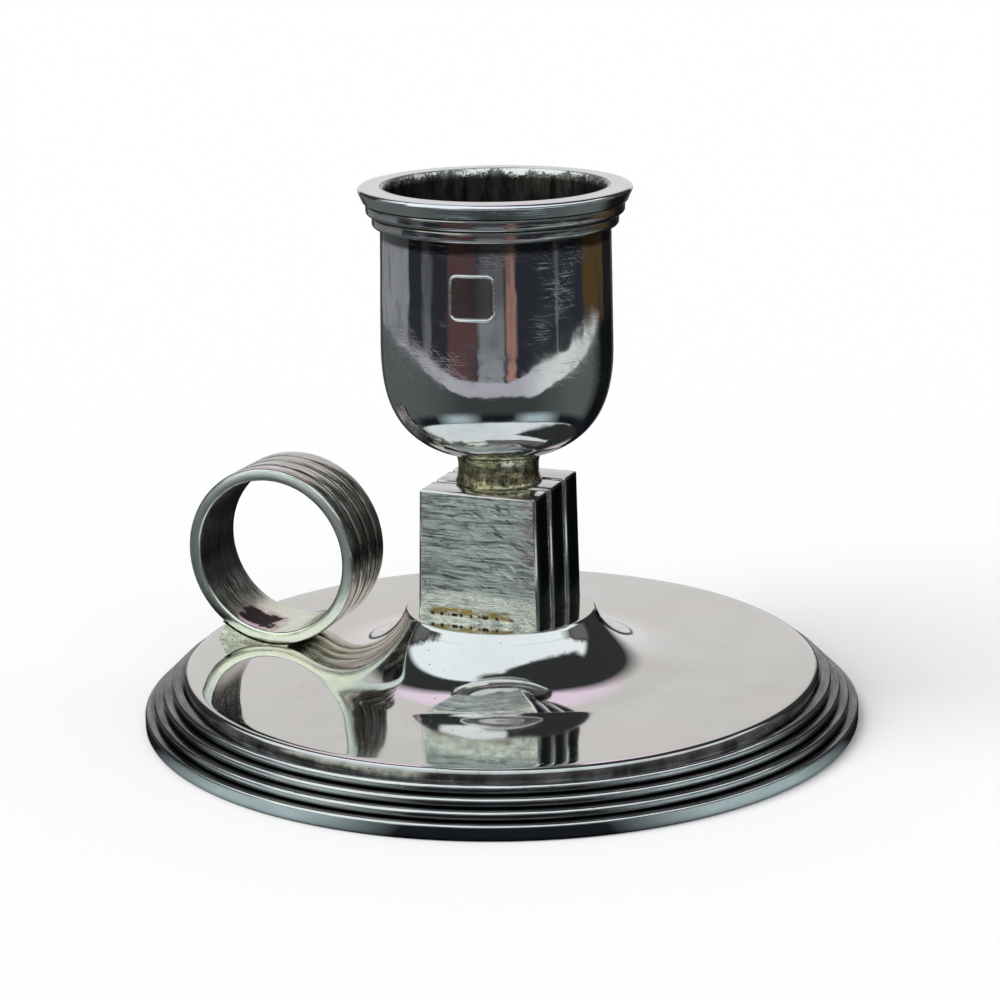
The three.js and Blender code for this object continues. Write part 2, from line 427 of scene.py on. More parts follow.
# plates of the stem: file marks across, slanted strokes, gouges, pale low part, brown pitted foot
def filedSilver(name, look):
    material, shader = startSilver(name)
    place = objectPlace()
    x, y, z = splitPlace(place)
    wander = times(grain(place, (4, 4, 4), 2, 0.5, 3.0), 0.7 * mm)
    filedZ = plus(z, wander)
    filePlace = packPlace(x, y, filedZ)
    slant = times(math2("MAXIMUM", plus(x, 1 * mm), 0.0), look["slant"])
    strokePlace = packPlace(x, y, plus(filedZ, slant))
    marks = patchy(filePlace, (4.0, 4.0, 0.15), 0.36, 0.6, 4, 0.68)
    patch = patchy(place, (4, 4, 2.6), 0.42, 0.58, 2, 0.5, 7.4)
    strokes = patchy(strokePlace, (1.5, 1.5, 0.2), 0.54, 0.61, 3, 0.6, 4.4)
    rightward = spread(x, -5 * mm, 2 * mm, 0.45, 1.0)
    strokes = times(strokes, times(patch, rightward))
    gouges = patchy(strokePlace, (1.8, 1.8, 0.34), 0.58, 0.63, 4, 0.62, 6.3)
    gouges = times(gouges, minus(1.0, times(patch, 0.6)))
    upFoot = minus(z, pedestalZ * mm)
    uneven = times(grain(filePlace, (3, 3, 0.3), 4, 0.6, 1.7), 2.4 * mm)
    low = spread(plus(upFoot, uneven), look["lowTop"] * mm, (look["lowTop"] - 0.8) * mm)
    middle = math2("ABSOLUTE", plus(x, 0.8 * mm))
    smearRow = between(upFoot, 0.5 * mm, 1.35 * mm, 0.14 * mm)
    smear = times(smearRow, spread(middle, 5.0 * mm, 4.0 * mm))
    cloudy = patchy(place, (1.2, 1.2, 0.4), 0.36, 0.56, 4, 0.7, 8.1)
    brown = times(smear, cloudy)
    overDots = spread(upFoot, 0.4 * mm, 0.5 * mm)
    dotRow = times(overDots, spread(upFoot, 0.85 * mm, 0.72 * mm))
    along = grain(packPlace(x, 0.0, 0.0), (0.6, 1, 1), 2, 0.5, 3.3)
    dots = times(spread(along, 0.5, 0.55), dotRow)
    pits = times(dots, spread(middle, 4.9 * mm, 4.2 * mm))
    edge = times(spread(x, 4.6 * mm, 5.9 * mm),
                 patchy(place, (1.5, 1.5, 1.8), 0.46, 0.58, 2, 0.5, 2.2))
    color = blend(marks, look["dark"], look["color"])
    color = coat(color, look["pink"], edge, 0.7)
    lowShare = spread(marks, 0.0, 0.5, 0.55, 0.97)
    color = coat(color, look["low"], low, lowShare)
    color = coat(color, look["bright"], strokes, 0.9)
    dug = times(gouges, minus(0.85, times(low, 0.6)))
    color = blend(dug, color, look["gouge"])
    color = coat(color, look["brown"], brown, 0.95)
    color = blend(pits, color, look["pit"])
    rough = minus(look["rough"], times(strokes, 0.12))
    rough = minus(rough, times(low, 0.22))
    normal = dent(marks, look["markDepth"])
    lumps = patchy(strokePlace, (1.1, 1.1, 0.5), 0.54, 0.7, 3, 0.6, 9.6)
    normal = dent(lumps, look["lumpDepth"], normal)
    normal = dent(strokes, look["strokeDepth"], normal)
    normal = dent(minus(1.0, gouges), look["gougeDepth"], normal)
    normal = dent(minus(1.0, pits), 0.06, normal)
    endSilver(shader, color, rough, normal)
    return material


# neck: olive and gold tarnish with black specks, and painted shade in its corners
def tarnishedSilver(name, look):
    material, shader = startSilver(name)
    place = objectPlace()
    clouds = patchy(place, (1.6, 1.6, 0.9), 0.38, 0.64, 4, 0.65)
    bright = patchy(place, (1.1, 1.1, 1.6), 0.52, 0.66, 4, 0.6, 5.2)
    specks = patchy(place, (0.45, 0.45, 0.4), 0.58, 0.68, 3, 0.6, 2.6)
    groove = corner(0.8, 0.3, 0.85)
    color = blend(clouds, look["color"], look["dull"])
    color = coat(color, look["bright"], bright, 0.7)
    color = coat(color, (0.03, 0.028, 0.015), specks, look["speckShare"])
    # painted shade in grooves and corners, from ambient occlusion
    color = coat(color, (0.06, 0.05, 0.025), groove, look["grooveShare"])
    rough = more(look["rough"], clouds, 0.18)
    normal = dent(grain(place, (0.5, 0.5, 0.5), 4, 0.6, 7.0), look["lumpDepth"])
    normal = dent(minus(1.0, specks), 0.05, normal)
    endSilver(shader, color, rough, normal)
    return material


# finger ring: satin sides, brown grooves, painted shade on the inside, pale yellow where it meets the
# saddle
def ringSilver(name, look):
    material, shader = startSilver(name)
    along, out, across, upwards, sideways = ringPlace(9.0)
    place = packPlace(along, out, across)
    clouds = patchy(place, (3, 1, 1), 0.4, 0.68, 4, 0.6)
    lines = patchy(place, (5, 0.07, 0.07), 0.5, 0.7, 3, 0.6, 2.3)
    side = spread(math2("ABSOLUTE", across), (half - 0.06) * mm, (half - 0.01) * mm)
    inner = spread(out, (handle["inner"] + 0.09) * mm, (handle["inner"] + 0.04) * mm)
    low = spread(upwards, -3 * mm, -8 * mm)
    groove = spread(out, (ringRadius - 0.11) * mm, (ringRadius - 0.16) * mm)
    rim = spread(math2("ABSOLUTE", across), (half - 0.24) * mm, (half - 0.19) * mm)
    groove = times(groove, minus(1.0, math2("MAXIMUM", rim, inner)))
    stain = patchy(place, (3.5, 0.5, 0.28), 0.4, 0.62, 4, 0.65, 3.3)
    stain = times(stain, spread(sideways, -4 * mm, 3 * mm))
    color = coat(look["color"], look["dull"], clouds, 0.5)
    color = coat(color, look["stain"], stain, 0.9)
    color = coat(color, look["side"], side, 0.9)
    color = coat(color, look["groove"], groove, 0.95)
    # painted shade: the ring's inside surface is darkened with the inner colour
    color = coat(color, look["inner"], inner, 0.92)
    color = coat(color, look["low"], low, 0.95)
    flat = packPlace(sideways, across, 0.0)
    ragged = minus(grain(flat, (1.4, 1.4, 1.4), 4, 0.65, 1.3), 0.5)
    ragged = times(ragged, 3.2 * mm)
    offSide = math2("ABSOLUTE", plus(sideways, look["rustX"] * mm))
    offAcross = math2("ABSOLUTE", plus(across, look["rustY"] * mm))
    rustReach = plus(math2("MAXIMUM", offSide, offAcross), ragged)
    onFloor = times(inner, spread(upwards, -5.5 * mm, -6.2 * mm))
    halo = times(onFloor, spread(rustReach, 2.7 * mm, 2.2 * mm))
    rust = times(onFloor, spread(rustReach, 1.9 * mm, 1.6 * mm))
    color = coat(color, look["halo"], halo, 0.8)
    color = coat(color, look["rust"], rust, 0.95)
    nearPlate = spread(upwards, -3 * mm, -6.5 * mm)
    satin = times(side, minus(0.2, times(nearPlate, 0.16)))
    rough = plus(look["rough"], satin)
    rough = more(rough, rust, 0.5)
    rough = more(rough, clouds, 0.1)
    rough = more(rough, groove, 0.2)
    normal = dent(lines, 0.008)
    normal = dent(grain(place, (0.7, 0.4, 0.4), 3, 0.6, 4.1), 0.012, normal)
    endSilver(shader, color, rough, normal)
    return material


# foot ring and the three border wires
# the groove colour and the top-face colour are painted shade
borderLook = {"color": (0.86, 0.86, 0.84), "dull": (0.6, 0.61, 0.61), "groove": (0.02, 0.02, 0.022),
              "rough": 0.05, "cornerReach": 0.9, "grooveShare": 0.95, "radius": 35.5,
              "topShade": (0.05, 0.05, 0.046), "topShadeShare": 0.92}
borderFinish = wireSilver("borderFinish", borderLook)
border = {"foot": 37.0, "footHeight": 1.6, "footDepth": 2.8, "footEdge": 0.3, "footTopEdge": 0.28,
          "step": 0.95, "height": 0.88, "depth": 2.9, "upperDepth": 1.04, "overlap": 0.04, "edge": 0.32,
          "film": 0.05, "turns": 256, "footWaves": (0.03, 9), "wireWaves": (0.025, 7)}
lowerZ = border["footHeight"] + border["film"]
middleZ = lowerZ + border["height"] + border["film"]
sheetUnderZ = middleZ + border["height"] + border["film"]
footInner = border["foot"] - border["footDepth"]
footOutline = [(footInner, 0.0)]
underEdge, topEdge = border["footEdge"], border["footTopEdge"]
footOutline += arcPoints(border["foot"] - underEdge, underEdge, underEdge, -90, 0, 5)
footOutline += arcPoints(border["foot"] - topEdge, border["footHeight"] - topEdge, topEdge, 0, 90, 8)
footOutline += [(footInner, border["footHeight"]), (footInner, 0.0)]
footRing = turnPiece("footRingSilver", footOutline, border["turns"])
handFinish(footRing, *border["footWaves"])
finishPiece(footRing, borderFinish, "foot_ring")


def wireOutline(inner, outer, low, high, edge):
    outline = [(inner, low)]
    outline += arcPoints(outer - edge, low + edge, edge, -90, 0, 8)
    outline += arcPoints(outer - edge, high - edge, edge, 0, 90, 8)
    outline += [(inner, high), (inner, low)]
    return outline


wireRows = [
    ("borderWireLowerSilver", "border_wire_lower", 1, lowerZ, border["depth"]),
    ("borderWireMiddleSilver", "border_wire_middle", 2, middleZ, border["depth"]),
    ("borderWireUpperSilver", "border_wire_upper", 3, sheetUnderZ, border["upperDepth"]),
]
for pieceName, nodeName, count, low, depth in wireRows:
    outer = border["foot"] - count * border["step"]
    high = low + border["height"]
    outline = wireOutline(outer - depth, outer, low - border["overlap"], high, border["edge"])
    wire = turnPiece(pieceName, outline, border["turns"])
    handFinish(wire, *border["wireWaves"])
    finishPiece(wire, borderFinish, nodeName)
print("border done")

# sheet base with its flare, and the cap on it
plateLook = {"color": (0.87, 0.87, 0.85), "dull": (0.74, 0.73, 0.7), "dullShare": 0.5, "cloud": 9,
             "rough": 0.035, "roughMore": 0.04, "scratchRough": 0.03, "scratchDepth": 0.0005,
             "wipeTurn": 25, "pitCell": 1.1,
             # groove colour and share: painted shade at the rim and in corners
             "cornerReach": 0.5, "groove": (0.03, 0.03, 0.03), "grooveShare": 0.4,
             "tint": (0.88, 0.82, 0.8), "tintShare": 0.6, "rim": 33.0}
plateFinish = polishedSilver("plateFinish", plateLook)
dish = {"edge": 33.1, "thick": 0.9, "crown": 1.1, "shoulder": 60, "rise": 6.7, "pedestal": 9.75,
        "spread": 0.53, "flareFoot": 19.5, "footPull": 0.5, "topPull": 0.15, "topLift": 0.45,
        "cap": 1.0, "seat": 32.1, "rimRound": 0.06, "rimStep": 0.2, "plateSteps": 60, "capEdge": 0.14,
        "turns": 256, "waves": (0.1, 15), "capWaves": (0.04, 5)}
plateZ = sheetUnderZ + dish["thick"]
crownZ = plateZ + dish["crown"]
pedestalZ = plateZ + dish["rise"]
flareTopZ = pedestalZ - dish["cap"]
capFoot = dish["pedestal"] + dish["spread"]
flareRun = dish["flareFoot"] - capFoot
flareDrop = flareTopZ - crownZ


def plateHeight(r):
    reach = (r - dish["flareFoot"]) / (dish["edge"] - dish["flareFoot"])
    return plateZ + dish["crown"] * (1 - abs(reach) ** dish["shoulder"])


rimRound = dish["rimRound"]
dishOutline = [(dish["edge"], sheetUnderZ), (dish["edge"], plateZ - rimRound)]
dishOutline += arcPoints(dish["edge"] - rimRound, plateZ - rimRound, rimRound, 15, 80, 3)
plateStart = dish["edge"] - dish["rimStep"]
plateRun = plateStart - dish["flareFoot"] - 0.4
for i in range(dish["plateSteps"] + 1):  # closer steps toward the shoulder
    r = plateStart - plateRun * (i / dish["plateSteps"]) ** 2
    dishOutline.append((r, plateHeight(r)))
flareLow = dish["flareFoot"] - flareRun * dish["footPull"]
flareHigh = capFoot + flareRun * dish["topPull"]
flareHighZ = crownZ + flareDrop * dish["topLift"]
dishOutline += curvePoints((dish["flareFoot"], crownZ), (flareLow, crownZ),
                           (flareHigh, flareHighZ), (capFoot, flareTopZ), 34)
dishOutline += [(capFoot - dish["thick"], flareTopZ)]
dishOutline += curvePoints((capFoot - dish["thick"], flareTopZ - 0.2),  # the sheet's underside
                           (flareHigh - 0.68, flareHighZ - dish["thick"]),
                           (flareLow - 0.34, crownZ - dish["thick"]),
                           (dish["flareFoot"], crownZ - dish["thick"]), 16)
underRow = linePoints((dish["flareFoot"] + 1, 0), (dish["seat"] - 1, 0), 12)
dishOutline += [(r, plateHeight(r) - dish["thick"]) for r, z in underRow]
dishOutline += [(dish["seat"], sheetUnderZ), (dish["edge"], sheetUnderZ)]
baseDish = turnPiece("baseDishSilver", dishOutline, dish["turns"])
handFinish(baseDish, *dish["waves"])
finishPiece(baseDish, plateFinish, "base_dish")

capEdge = dish["capEdge"]
capOutline = [(0, flareTopZ)]
capOutline += linePoints((capFoot, flareTopZ), (dish["pedestal"] + 0.06, pedestalZ - capEdge), 4)
capOutline += arcPoints(dish["pedestal"] - capEdge, pedestalZ - capEdge, capEdge, 25, 90, 4)
capOutline += linePoints((dish["pedestal"] - 0.4, pedestalZ), (0, pedestalZ), 14)
pedestalCap = turnPiece("pedestalCapSilver", capOutline, dish["turns"])
handFinish(pedestalCap, *dish["capWaves"])
finishPiece(pedestalCap, plateFinish, "pedestal_cap")
print("base done")

# stem: three tapered plates with open gaps
slabLook = {"color": (0.82, 0.89, 0.85), "dark": (0.1, 0.115, 0.115), "bright": (0.97, 1.0, 0.93),
            "low": (0.95, 1.0, 0.88), "gouge": (0.05, 0.055, 0.065), "brown": (0.42, 0.28, 0.06),
            "pink": (0.4, 0.2, 0.2), "pit": (0.015, 0.013, 0.01), "slant": 0.42, "lowTop": 4.6,
            "rough": 0.4, "markDepth": 0.02, "strokeDepth": 0.07, "gougeDepth": 0.08, "lumpDepth": 0.26}
slabFinish = filedSilver("slabFinish", slabLook)
sideLook = {"color": (0.84, 0.85, 0.84), "dull": (0.6, 0.61, 0.6), "dullShare": 0.5, "cloud": 4,
            "rough": 0.07, "roughMore": 0.08, "scratchRough": 0.08, "scratchDepth": 0.002,
            "wipeTurn": 5, "pitCell": 1.4,
            "cornerReach": 0.7, "groove": (0.02, 0.02, 0.02), "grooveShare": 0.9,
            "tint": (0.8, 0.8, 0.84), "tintShare": 0.3, "rim": 99}  # a rim beyond the piece leaves it without the painted rim shade; the groove colour is painted shade in corners
sideFinish = polishedSilver("sideFinish", sideLook)
# the slab's left and right faces: a darker copy of the side silver, painted shade
flankShadeLook = dict(sideLook, color=(0.2, 0.21, 0.215), dull=(0.1, 0.105, 0.105), dullShare=0.7, cloud=3,
                 rough=0.09, roughMore=0.1, scratchRough=0.1, tint=(0.14, 0.14, 0.15), tintShare=0.4)
flankShadeFinish = polishedSilver("flankShadeFinish", flankShadeLook)
stem = {"height": 13.5, "footWidth": 13.2, "topWidth": 12.5, "thick": 3.65, "gap": 0.75, "edge": 0.28,
        "smooth": 20}
slabTopZ = pedestalZ + stem["height"]


def selectFaces(piece, test):
    bpy.ops.mesh.select_mode(type="FACE")
    bpy.ops.mesh.select_all(action="DESELECT")
    bpy.ops.object.mode_set(mode="OBJECT")
    for face in piece.data.polygons:
        face.select = test(face)
    bpy.ops.object.mode_set(mode="EDIT")


def paintFaces(piece, material, test):
    deselectAll()
    piece.select_set(True)
    bpy.context.view_layer.objects.active = piece
    piece.data.materials.append(material)
    piece.active_material_index = len(piece.data.materials) - 1
    bpy.ops.object.mode_set(mode="EDIT")
    selectFaces(piece, test)
    bpy.ops.object.material_slot_assign()
    bpy.ops.object.mode_set(mode="OBJECT")


def makeSlab(name, row):
    deselectAll()
    bpy.ops.mesh.primitive_cube_add(size=1, location=(0, 0, 0))
    piece = bpy.context.object
    piece.name = name
    piece.data.name = name
    bpy.ops.object.mode_set(mode="EDIT")
    bpy.ops.transform.resize(value=(stem["footWidth"] * mm, stem["thick"] * mm, stem["height"] * mm))
    middle = (0, row * (stem["thick"] + stem["gap"]) * mm, (pedestalZ + stem["height"] / 2) * mm)
    bpy.ops.transform.translate(value=middle)
    selectFaces(piece, lambda face: face.normal.z > 0.9)
    bpy.ops.transform.resize(value=(stem["topWidth"] / stem["footWidth"], 1, 1))
    bpy.ops.mesh.select_mode(type="EDGE")
    bpy.ops.mesh.select_all(action="DESELECT")
    bpy.ops.object.mode_set(mode="OBJECT")
    for line in piece.data.edges:
        line.select = max(piece.data.vertices[i].co.z for i in line.vertices) > (pedestalZ + 1) * mm
    bpy.ops.object.mode_set(mode="EDIT")
    bpy.ops.mesh.bevel(offset=stem["edge"] * mm, segments=3, affect="EDGES")
    bpy.ops.mesh.select_all(action="SELECT")
    bpy.ops.object.mode_set(mode="OBJECT")
    bpy.ops.object.shade_smooth_by_angle(angle=math.radians(stem["smooth"]))
    return piece


slabRows = [
    ("frontSlabSilver", "front_slab", -1),
    ("middleSlabSilver", "middle_slab", 0),
    ("rearSlabSilver", "rear_slab", 1),
]
for pieceName, nodeName, row in slabRows:
    slab = makeSlab(pieceName, row)
    finishPiece(slab, sideFinish, nodeName)
    paintFaces(slab, slabFinish, lambda face: abs(face.normal.y) > 0.99)
    paintFaces(slab, flankShadeFinish, lambda face: abs(face.normal.x) > 0.99)

neckLook = {"color": (0.6, 0.55, 0.32), "dull": (0.09, 0.08, 0.045), "bright": (0.97, 0.94, 0.78),
            "rough": 0.08, "speckShare": 0.9, "grooveShare": 0.7, "lumpDepth": 0.05}
neckFinish = tarnishedSilver("neckFinish", neckLook)
neck = {"radius": 4.05, "flare": 0.4, "waist": 0.1, "height": 3.1, "turns": 128, "waves": (0.06, 3)}
neckTopZ = slabTopZ + neck["height"]
neckFlare = neck["radius"] + neck["flare"]
neckOutline = [(0, slabTopZ), (neckFlare, slabTopZ)]
neckOutline += curvePoints((neckFlare, slabTopZ + 0.15), (neck["radius"], slabTopZ + 0.7),
                           (neck["radius"] - neck["waist"], slabTopZ + 2.3), (neckFlare, neckTopZ), 16)
neckOutline += [(0, neckTopZ)]
stemNeck = turnPiece("stemNeckSilver", neckOutline, neck["turns"])
handFinish(stemNeck, *neck["waves"])
finishPiece(stemNeck, neckFinish, "stem_neck")
print("stem done")

# candle socket with its lip and two reeds
socket = {"bore": 11.0, "wall": 0.55, "bulge": 0.2, "height": 27.3, "round": 10.5, "floor": 1.8,
          "seat": 6.0, "mouth": ((0.32, 0.02), (0.12, 0.26), (0.0, 0.8)),  # out of the bore, under the lip
          "lipHeight": 1.45, "lipWidth": 2.15, "lipUnder": 0.45, "lipEdge": 0.4,
          "reedHeight": 1.2, "reedUpper": 1.4, "reedLower": 0.8, "reedEdge": 0.34,
          "film": 0.05, "overlap": 0.02, "turns": 224,
          "cupWaves": (0.065, 7), "lipWaves": (0.03, 4), "reedWaves": (0.025, 5)}
socketZ = neckTopZ
lipTopZ = socketZ + socket["height"]
seatZ = socketZ + socket["floor"]
roundTopZ = socketZ + socket["round"]
wallRadius = socket["bore"] + socket["wall"]
bellyRadius = wallRadius + socket["bulge"]
cupOutline = [(0, socketZ), (neck["radius"] * 0.5, socketZ)]
cupOutline += curvePoints((neck["radius"], socketZ), (bellyRadius * 0.72, socketZ + socket["round"] * 0.08),
                          (bellyRadius, socketZ + socket["round"] * 0.33), (bellyRadius, roundTopZ), 34)
cupLook = {"color": (0.84, 0.84, 0.84), "dull": (0.6, 0.6, 0.61), "rough": 0.04, "radius": 11.65,
           "panelTurn": -80.4, "panelZ": 45.65, "panelHalf": 2.15, "panelRound": 0.7,
           "panel": (0.14, 0.13, 0.11), "panelShare": 0.75, "collarShade": (0.05, 0.048, 0.042), "collarShadeZ": 50.6}
boreLook = {"radius": 11.0, "soot": (0.05, 0.05, 0.047), "stain": (0.34, 0.33, 0.3),
            "scraped": (0.9, 0.9, 0.84), "scrapeZ": 56.0, "ragged": 3.2, "rough": 0.34, "flakeDepth": 0.1}
boreFinish = boreSilver("boreFinish", boreLook)
cupFinish = cupSilver("cupFinish", cupLook)
# the groove colour and the top-face colour are painted shade
lipLook = {"color": (0.96, 0.97, 0.98), "dull": (0.84, 0.85, 0.87), "groove": (0.02, 0.02, 0.022),
           "rough": 0.05, "cornerReach": 0.8, "grooveShare": 0.9, "radius": 13.0,
           "topShade": (0.9, 0.9, 0.92), "topShadeShare": 0.3}
lipFinish = wireSilver("lipFinish", lipLook)
# the reeds: the lip's silver painted darker as painted shade, with painted shade in the grooves and on the
# top faces
reedShadeLook = {"color": (0.62, 0.62, 0.62), "dull": (0.34, 0.34, 0.33), "groove": (0.02, 0.02, 0.022),
            "rough": 0.06, "cornerReach": 0.9, "grooveShare": 0.95, "radius": 12.5,
            "topShade": (0.2, 0.2, 0.2), "topShadeShare": 0.7}
reedShadeFinish = wireSilver("reedShadeFinish", reedShadeLook)
collarZ = lipTopZ - socket["lipHeight"] - 2 * socket["reedHeight"] - 2 * socket["film"]
cupOutline += linePoints((bellyRadius, roundTopZ + 1), (wallRadius, collarZ), 12)
cupOutline += [(wallRadius, lipTopZ - socket["overlap"])]
cupOutline += [(socket["bore"] + out, lipTopZ - down) for out, down in socket["mouth"]]
cupOutline += linePoints((socket["bore"], lipTopZ - 1), (socket["bore"], roundTopZ + 0.5), 14)
cupOutline += curvePoints((socket["bore"], roundTopZ), (socket["bore"], seatZ + (roundTopZ - seatZ) * 0.33),
                          (socket["bore"] * 0.81, seatZ), (socket["seat"], seatZ), 20)
cupOutline += [(socket["seat"] * 0.5, seatZ), (0, seatZ)]
socketCup = turnPiece("socketCupSilver", cupOutline, socket["turns"])
handFinish(socketCup, *socket["cupWaves"])
finishPiece(socketCup, cupFinish, "socket_cup")


def inBore(face):
    out = Vector((face.center.x, face.center.y, 0))
    facing = face.normal.dot(out.normalized()) if out.length > 1e-6 else 0
    return face.center.z > (seatZ - 0.1) * mm and out.length < (socket["bore"] + 0.3) * mm and (
        facing < -0.3 or face.normal.z > 0.3)


paintFaces(socketCup, boreFinish, inBore)

# the raised edge of the blank panel, a fine bead laid on the cup wall
bead = {"thick": 0.15, "proud": 0.02, "cornerSteps": 6, "sideSteps": 8}
beadSquare = cupLook["panelHalf"] - cupLook["panelRound"]
beadPath = []
for quarter, (sideX, sideZ) in enumerate(((1, 1), (-1, 1), (-1, -1), (1, -1))):
    turned = arcPoints(sideX * beadSquare, sideZ * beadSquare, cupLook["panelRound"],
                       quarter * 90, quarter * 90 + 90, bead["cornerSteps"])
    if beadPath:
        beadPath += linePoints(beadPath[-1], turned[0], bead["sideSteps"])[1:-1]
    beadPath += turned
beadPath += linePoints(beadPath[-1], beadPath[0], bead["sideSteps"])[1:]


def wallPlace(across, up):
    z = cupLook["panelZ"] + up
    share = (z - roundTopZ - 1) / (collarZ - roundTopZ - 1)
    r = bellyRadius + (wallRadius - bellyRadius) * share + bead["proud"]
    turn = math.radians(cupLook["panelTurn"]) + across / cupLook["radius"]
    return Vector((r * math.cos(turn), r * math.sin(turn), z)) * mm


panelBead = traceOutline("socketPanelBead", [wallPlace(across, up) for across, up in beadPath])
bpy.ops.mesh.select_all(action="SELECT")
bpy.ops.mesh.remove_doubles(threshold=2e-6)
bpy.ops.object.mode_set(mode="OBJECT")
bpy.ops.object.convert(target="CURVE")
panelBead.data.bevel_depth = bead["thick"] * mm
panelBead.data.bevel_resolution = 4
bpy.ops.object.convert(target="MESH")
bpy.ops.object.mode_set(mode="EDIT")
closeMesh()
bpy.ops.object.mode_set(mode="OBJECT")
bpy.ops.object.shade_smooth()
finishPiece(panelBead, lipFinish)

lipRadius = wallRadius + socket["lipWidth"]
lipZ = lipTopZ - socket["lipHeight"]
collarInner = wallRadius - socket["overlap"]
lipEdge = socket["lipEdge"]
lipOutline = [(collarInner, lipZ), (lipRadius - socket["lipUnder"], lipZ)]
lipOutline += [(lipRadius - 0.04, lipTopZ - 0.5)]
lipOutline += arcPoints(lipRadius - lipEdge, lipTopZ - lipEdge, lipEdge, 0, 90, 10)
lipOutline += linePoints((lipRadius - 0.7, lipTopZ), (collarInner, lipTopZ), 5)
lipOutline += [(collarInner, lipZ)]
socketLip = turnPiece("socketLipSilver", lipOutline, socket["turns"])
handFinish(socketLip, *socket["lipWaves"])
finishPiece(socketLip, lipFinish, "socket_lip")
reedTop = lipZ
for pieceName, nodeName, width in (("socketReedUpperSilver", "socket_reed_upper", socket["reedUpper"]),
                                   ("socketReedLowerSilver", "socket_reed_lower", socket["reedLower"])):
    low = reedTop - socket["film"] - socket["reedHeight"]
    outline = wireOutline(collarInner, wallRadius + width, low, reedTop, socket["reedEdge"])
    reed = turnPiece(pieceName, outline, socket["turns"])
    handFinish(reed, *socket["reedWaves"])
    finishPiece(reed, reedShadeFinish, nodeName)
    reedTop = low
print("socket done")

# finger ring and its saddle
handle = {"inset": 3.0, "inner": 8.25, "wall": 1.35, "width": 8.2, "film": 0.05, "reeds": 4,
          "reedDepth": 0.38, "crown": 0.15, "crownPower": 2.6, "reedSteps": 10, "groove": 0.09,
          "edge": 0.32, "saddleOuter": 6.2, "solderEnd": 1.8, "saddleHeight": 2.0, "saddleSpread": 1.07,
          "saddleFilm": 0.02, "turns": 192, "waves": (0.03, 4)}
ringRadius = handle["inner"] + handle["wall"]
ringX = -(border["foot"] - handle["inset"] - ringRadius)
ringZ = plateHeight(-ringX) + handle["film"] + ringRadius
half = handle["width"] / 2
reedPitch = handle["width"] / handle["reeds"]
ringLook = {"color": (0.94, 0.95, 0.92), "dull": (0.58, 0.56, 0.48), "side": (0.72, 0.79, 0.77),
            "groove": (0.03, 0.025, 0.015), "inner": (0.3, 0.29, 0.26), "low": (0.98, 1.0, 0.84),
            "stain": (0.28, 0.24, 0.14), "rough": 0.08,
            "halo": (0.66, 0.5, 0.54), "rust": (0.03, 0.014, 0.01), "rustX": 2.6, "rustY": 1.4}
ringFinish = ringSilver("ringFinish", ringLook)
ringEdge = handle["edge"]
sideTop = ringRadius - 2 * handle["crown"]
ringOutline = [(handle["inner"] + ringEdge, -half), (sideTop, -half)]
for count in range(handle["reeds"]):
    start = -half + count * reedPitch
    if count:
        ringOutline.append((ringRadius - handle["reedDepth"], start))
    for i in range(handle["reedSteps"] + 1):
        share = handle["groove"] + (1 - 2 * handle["groove"]) * i / handle["reedSteps"]
        drop = handle["crown"] * abs(2 * share - 1) ** handle["crownPower"]
        ringOutline.append((ringRadius - drop, start + share * reedPitch))
ringOutline += [(sideTop, half), (handle["inner"] + ringEdge, half)]
ringOutline += arcPoints(handle["inner"] + ringEdge, half - ringEdge, ringEdge, 90, 180, 4)
ringOutline += linePoints((handle["inner"], half - 1), (handle["inner"], -half + 1), 6)
ringOutline += arcPoints(handle["inner"] + ringEdge, ringEdge - half, ringEdge, 180, 270, 4)
ringPlaces = [Vector((ringX * mm, across * mm, (ringZ + r) * mm)) for r, across in ringOutline]
handleRing = traceOutline("handleRingSilver", ringPlaces)
spinRound(handleRing, handle["turns"], (ringX * mm, 0, ringZ * mm), (0, 1, 0), 45)
handFinish(handleRing, *handle["waves"])
finishPiece(handleRing, ringFinish, "handle_ring")

saddleLook = {"color": (0.74, 0.74, 0.6), "dull": (0.4, 0.39, 0.28), "bright": (0.82, 0.82, 0.68),
              "rough": 0.2, "speckShare": 0.25, "grooveShare": 0.3, "lumpDepth": 0.015}
saddleFinish = tarnishedSilver("saddleFinish", saddleLook)


def saddleFoot(x):
    return plateHeight(-ringX - x) + handle["saddleFilm"]


saddleEnd = -handle["saddleOuter"]
saddleTopZ = saddleFoot(saddleEnd) + handle["saddleHeight"]
hollow = ringRadius + handle["saddleFilm"]  # the ring's bed
outerDeg = math.degrees(math.acos((ringZ - saddleTopZ) / hollow))
innerDeg = math.degrees(math.asin(handle["solderEnd"] / hollow))
saddleReach = linePoints((saddleEnd, 0), (handle["solderEnd"], 0), 14)
saddleOutline = [(x, saddleFoot(x)) for x, z in saddleReach]
saddleOutline += arcPoints(0, ringZ, hollow, innerDeg - 90, -outerDeg - 90, 24)
saddleOutline += curvePoints((saddleEnd + 1.0, saddleTopZ - 0.03), (saddleEnd + 0.6, saddleTopZ - 0.2),
                             (saddleEnd + 0.3, saddleTopZ - 0.9), (saddleEnd + 0.02, saddleTopZ - 1.75), 10)
saddleOutline += [(saddleEnd, saddleFoot(saddleEnd))]
saddlePlaces = [Vector(((ringX + x) * mm, -half * mm, z * mm)) for x, z in saddleOutline]
saddle = traceOutline("handleSaddleSilver", saddlePlaces)
bpy.ops.mesh.select_all(action="SELECT")
bpy.ops.mesh.remove_doubles(threshold=2e-6)
bpy.ops.mesh.edge_face_add()
bpy.ops.mesh.extrude_region_move(TRANSFORM_OT_translate={"value": (0, handle["width"] * mm, 0)})
closeMesh()
bpy.ops.mesh.select_mode(type="VERT")
